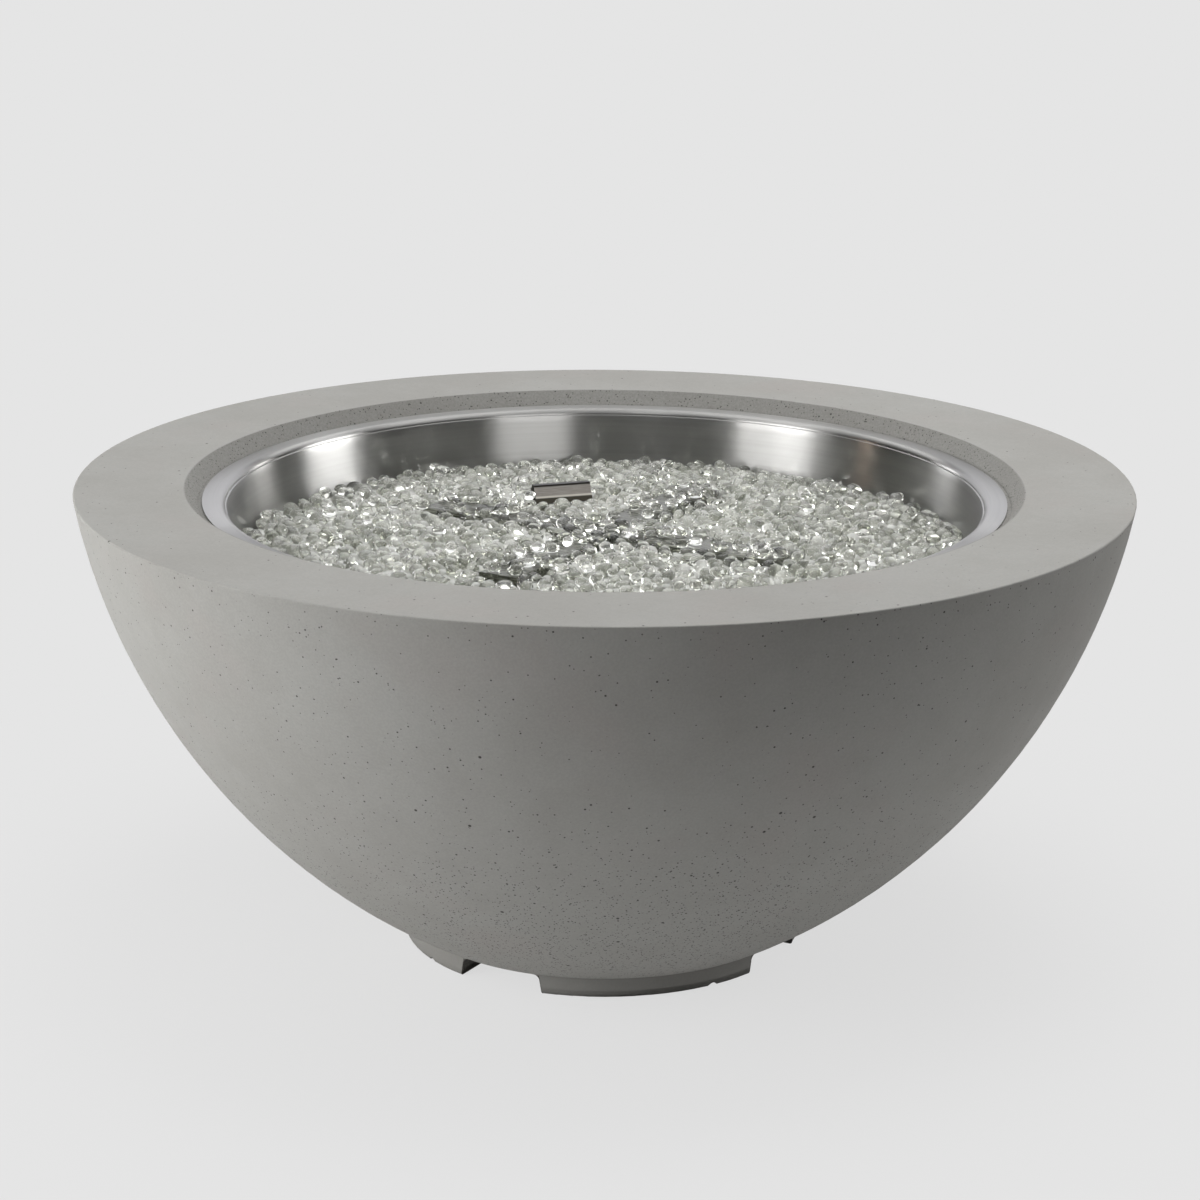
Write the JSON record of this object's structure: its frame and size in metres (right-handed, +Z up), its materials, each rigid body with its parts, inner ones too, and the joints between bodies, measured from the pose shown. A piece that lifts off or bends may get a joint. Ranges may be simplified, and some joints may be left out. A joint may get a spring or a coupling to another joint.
{
  "type": "gas fire pit bowl",
  "caption": "Round cast concrete fire bowl on a low footed ring, with a drop-in steel burner pan of clear glass gems, a cross-shaped gas burner and rear controls.",
  "frame": {"origin": "middle of the bowl's footprint, on the ground plane the feet stand on", "axes": "+Z up; the four burner arms and the four gaps between the feet lie along X and Y; the control panel faces +Y"},
  "size_m": [1.0662, 1.0664, 0.48],
  "materials": {
    "concrete": "smooth cast concrete, fine pits and faint mottling",
    "brushed_steel": "brushed",
    "pan_steel": "spun and brushed round the axis",
    "burner_steel": "brushed, dull",
    "hood_steel": "heat-tinted sheet",
    "fastener_steel": "plain",
    "plated_steel": "satin plated",
    "spring_steel": "drawn wire",
    "hose_steel": "corrugated tube under a woven sleeve",
    "pipe_iron": "plain pipe",
    "brass": "turned",
    "copper": "drawn copper",
    "black_plastic": "fine grain",
    "battery_sleeve": "plain sleeve",
    "lead_silicone": "silicone sleeve",
    "ceramic": "unglazed",
    "glass": "clear tumbled gems with a faint grey-green tint"
  },
  "bodies": {
    "bowl": {"bowl_shell": "concrete", "panel_inserts": "brass", "control_panel": "brushed_steel", "panel_screws": "fastener_steel", "knob_bezel": "brushed_steel", "valve_body": "brass", "valve_nut": "plated_steel", "stem_spring": "spring_steel", "igniter_body": "black_plastic", "igniter_battery": "battery_sleeve", "battery_spring": "spring_steel", "igniter_bezel": "plated_steel", "button_spring": "spring_steel", "hose_nut_valve": "brass", "gas_hose": "hose_steel", "ignition_lead": "lead_silicone", "thermocouple_lead": "copper"},
    "burner_tray": {"burner_pan": "pan_steel", "burner_shell": "burner_steel", "burner_base": "burner_steel", "burner_standoffs": "fastener_steel", "burner_screws": "fastener_steel", "burner_nuts": "fastener_steel", "burner_inlet": "pipe_iron", "inlet_locknuts": "fastener_steel", "air_mixer": "brass", "gas_orifice": "brass", "hose_nut_burner": "brass", "igniter_hood": "hood_steel", "igniter_bracket": "hood_steel", "bracket_screws": "fastener_steel", "spark_electrode": "spring_steel", "electrode_insulator": "ceramic", "thermocouple": "copper", "glass_beads": "glass"},
    "valve_plunger": {"valve_plunger": "brass"},
    "control_knob": {"control_knob": "black_plastic", "valve_stem": "plated_steel", "knob_screw": "fastener_steel"},
    "igniter_button": {"igniter_button": "black_plastic"}
  },
  "joints": [
    {"name": "pan_lift", "type": "slide", "parent": "bowl", "child": "burner_tray", "axis": [0, 0, 1], "range_m": [0, 0.2], "deforming": ["gas_hose", "ignition_lead", "thermocouple_lead"]},
    {"name": "knob_push", "type": "slide", "parent": "bowl", "child": "valve_plunger", "axis": [0, -1, 0], "range_m": [0, 0.003], "stiffness_N_per_m": 1200, "springref_m": -0.004, "deforming": ["stem_spring"]},
    {"name": "knob_turn", "type": "hinge", "parent": "valve_plunger", "child": "control_knob", "pos_m": [-0.034, 0.38642, 0.236], "axis": [0, 1, 0], "range_deg": [0, 180]},
    {"name": "button_push", "type": "slide", "parent": "bowl", "child": "igniter_button", "axis": [0, -1, 0], "range_m": [0, 0.0025], "stiffness_N_per_m": 800, "springref_m": -0.003, "deforming": ["button_spring"]}
  ]
}
